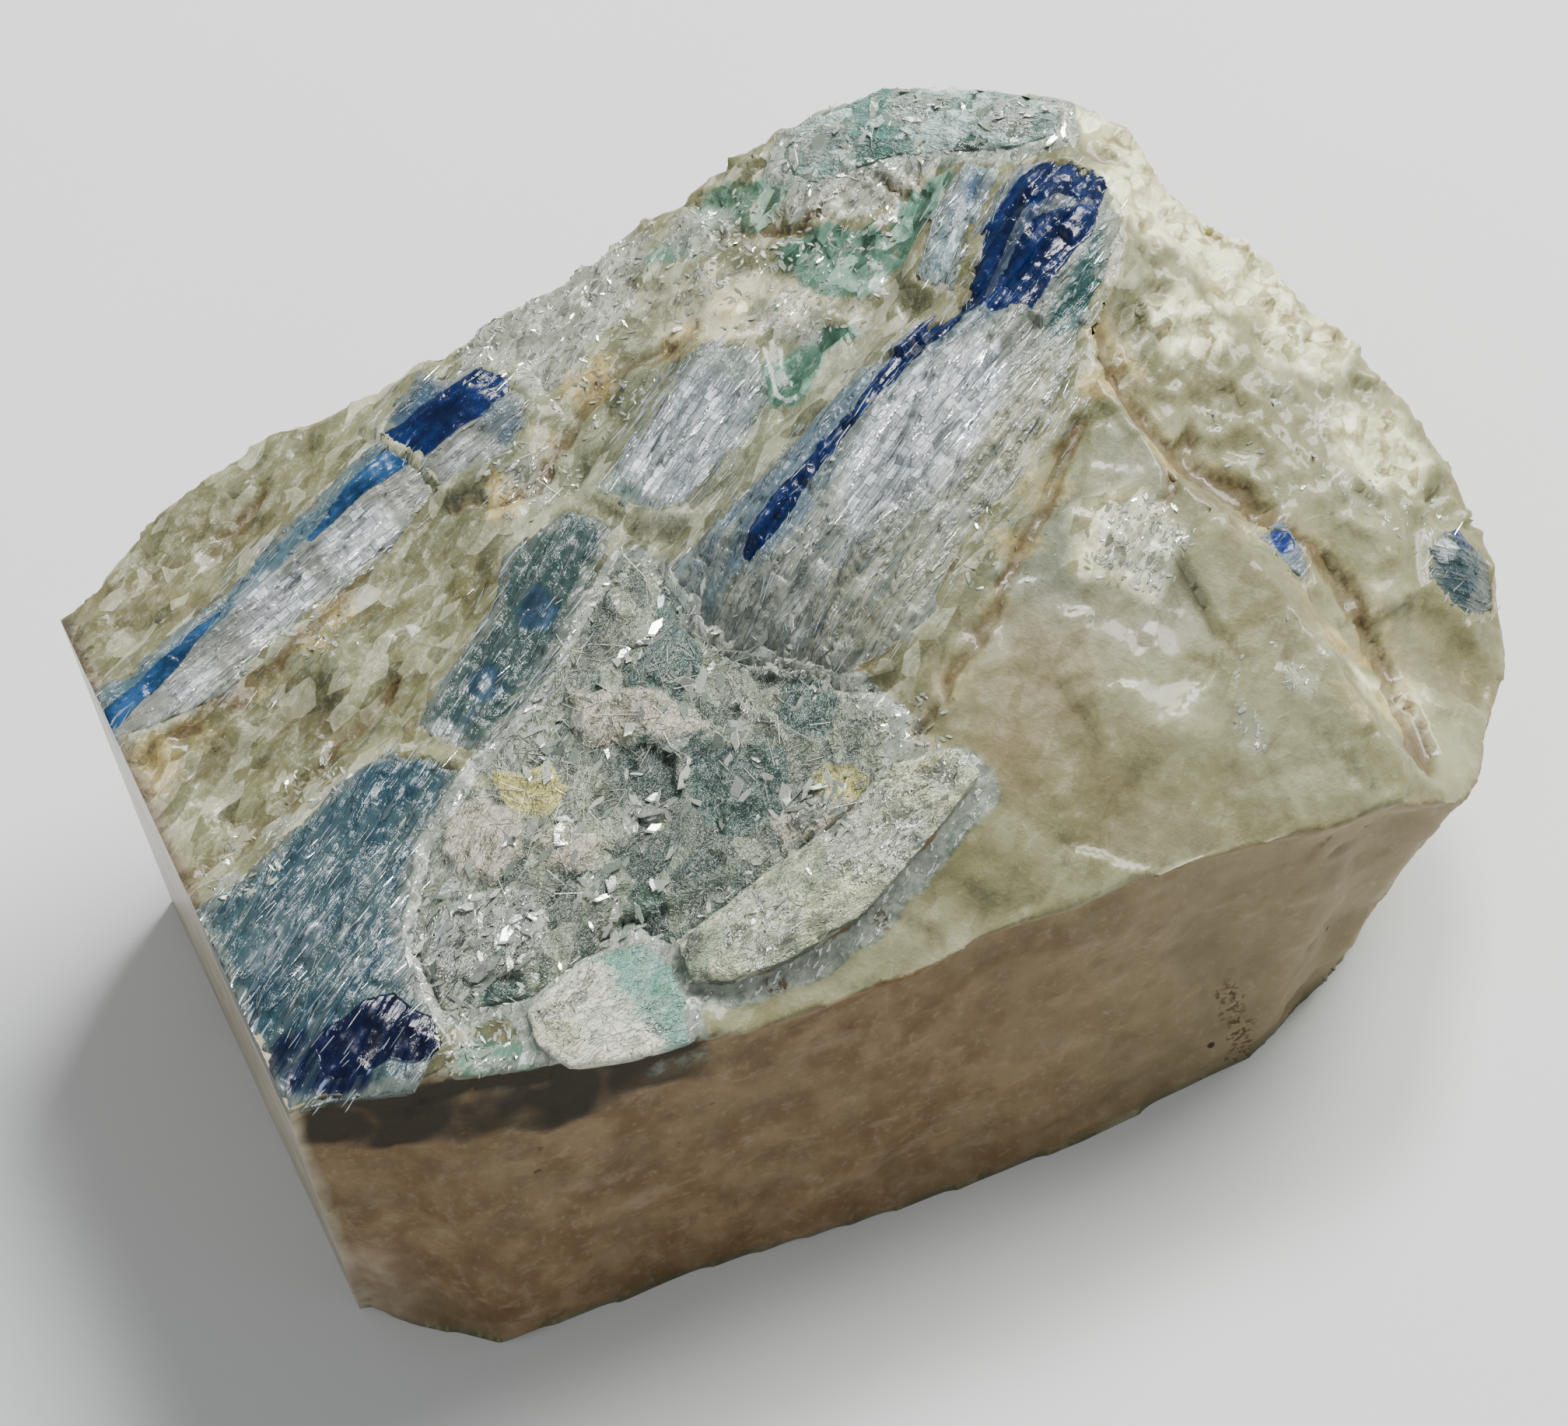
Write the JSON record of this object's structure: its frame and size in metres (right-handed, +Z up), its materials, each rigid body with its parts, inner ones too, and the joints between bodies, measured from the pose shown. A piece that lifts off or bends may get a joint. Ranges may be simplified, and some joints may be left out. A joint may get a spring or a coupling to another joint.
{
  "type": "kyanite specimen",
  "caption": "Block of milky quartz, sawn flat at one end, with blue and pale kyanite blades and mica set in its upper face.",
  "frame": {"origin": "in the plane of the flat base, under the middle of the block", "axes": "+X from the sawn end along the block, +Y to its back, +Z up from the flat base"},
  "size_m": [0.0806, 0.0574, 0.0329],
  "materials": {
    "quartz": "milky translucent broken quartz",
    "blue_kyanite": "deep blue, glassy and striated",
    "pale_kyanite": "pale silvery blue, glassy and striated",
    "green_kyanite": "blue-green, glassy and striated",
    "green_mica": "grey-green, pearly and flaky",
    "pale_mica": "cream to pale green, pearly and flaky"
  },
  "bodies": {
    "root": {"quartz_matrix": "quartz", "kyanite_blade_main": "blue_kyanite", "kyanite_blade_front": "blue_kyanite", "kyanite_blade_back": "pale_kyanite", "kyanite_blade_back_tip": "blue_kyanite", "kyanite_blade_silver": "pale_kyanite", "kyanite_blade_teal": "green_kyanite", "kyanite_blade_pale": "pale_kyanite", "kyanite_stub": "green_kyanite", "kyanite_chip": "blue_kyanite", "mica_mass": "green_mica", "mica_cap": "green_mica", "mica_ledge": "pale_mica", "mica_shell": "pale_mica"}
  },
  "joints": []
}
